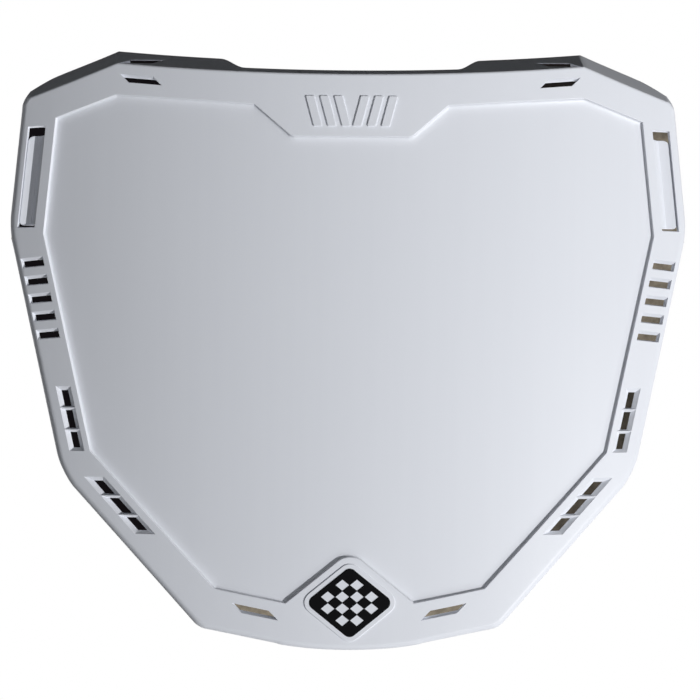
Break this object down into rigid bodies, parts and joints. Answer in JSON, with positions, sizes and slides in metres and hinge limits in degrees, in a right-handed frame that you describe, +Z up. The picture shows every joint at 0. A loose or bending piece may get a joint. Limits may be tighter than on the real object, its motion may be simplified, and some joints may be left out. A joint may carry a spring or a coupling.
{
  "type": "racing number board",
  "caption": "Front number board: a moulded dish bent about an upright axis, with a sunk panel, a turned-back rim, strap hooks at the sides and openings along the border.",
  "frame": {"origin": "on the front surface of the sunk panel, on its upright centre line, at the mount number_panel", "axes": "+X to the right seen from the front, +Z up, and the face looks along -Y"},
  "size_m": [0.2538, 0.0355, 0.2193],
  "materials": {
    "white_plastic": "satin gloss white moulding",
    "black_ink": "black printed film"
  },
  "bodies": {
    "root": {"board": "white_plastic", "badge_print": "black_ink"}
  },
  "joints": []
}
